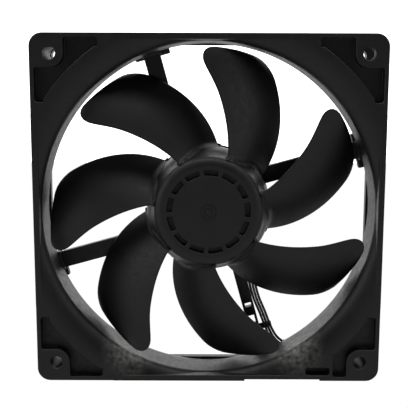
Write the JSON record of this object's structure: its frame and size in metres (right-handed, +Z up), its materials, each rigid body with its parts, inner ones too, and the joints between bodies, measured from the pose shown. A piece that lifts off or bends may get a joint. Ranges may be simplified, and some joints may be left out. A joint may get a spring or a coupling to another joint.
{
  "type": "case fan",
  "caption": "Square axial case fan with a swept-blade impeller that turns freely in a ducted frame, a brushless motor held by rear struts, and a coiled lead with a plug.",
  "frame": {"origin": "middle of the frame's bottom edge, half way through its depth", "axes": "+Z up, -Y out of the intake side, +Y out of the outlet side, +X to the right seen from the intake"},
  "size_m": [0.14, 0.0546, 0.14],
  "materials": {
    "frame_plastic": "matte black glass-filled plastic, fine grain",
    "impeller_plastic": "matte black plastic, slightly smoother than the frame",
    "label_film": "plain silver film, no print",
    "core_steel": "dull electrical steel",
    "white_nylon": "natural nylon",
    "copper_wire": "enamelled copper wire",
    "board": "green solder mask",
    "chip_black": "moulded black package",
    "bright_steel": "ground bearing steel",
    "ferrite": "dark bonded ferrite",
    "brass_metal": "turned brass",
    "black_rubber": "black rubber",
    "black_vinyl": "black flexible vinyl",
    "plug_plastic": "black moulded plug"
  },
  "bodies": {
    "fan_body": {"fan_frame": "frame_plastic", "motor_label": "label_film", "stator_core": "core_steel", "insulator_rear": "white_nylon", "insulator_front": "white_nylon", "pole_coil_1": "copper_wire", "pole_coil_2": "copper_wire", "pole_coil_3": "copper_wire", "pole_coil_4": "copper_wire", "circuit_board": "board", "driver_chip": "chip_black", "hall_sensor": "chip_black", "filter_capacitor": "white_nylon", "flyback_diode": "chip_black", "bearing_rear": "bright_steel", "bearing_front": "bright_steel", "preload_spring": "bright_steel", "wire_header": "white_nylon", "lead_wire_1": "black_vinyl", "lead_wire_2": "black_vinyl", "lead_wire_3": "black_vinyl", "lead_grommet": "black_rubber", "lead_tail": "black_vinyl", "lead_coil": "black_vinyl", "lead_end": "black_vinyl", "plug_housing": "plug_plastic", "plug_contact_1": "brass_metal", "plug_contact_2": "brass_metal", "plug_contact_3": "brass_metal"},
    "rotor": {"impeller": "impeller_plastic", "rotor_yoke": "core_steel", "ring_magnet": "ferrite", "rotor_shaft": "bright_steel", "shaft_boss": "brass_metal", "thrust_washer": "white_nylon", "retaining_clip": "bright_steel"}
  },
  "joints": [
    {"name": "rotor_spin", "type": "hinge", "parent": "fan_body", "child": "rotor", "pos_m": [0, 0, 0.07], "axis": [0, -1, 0], "continuous": true}
  ]
}
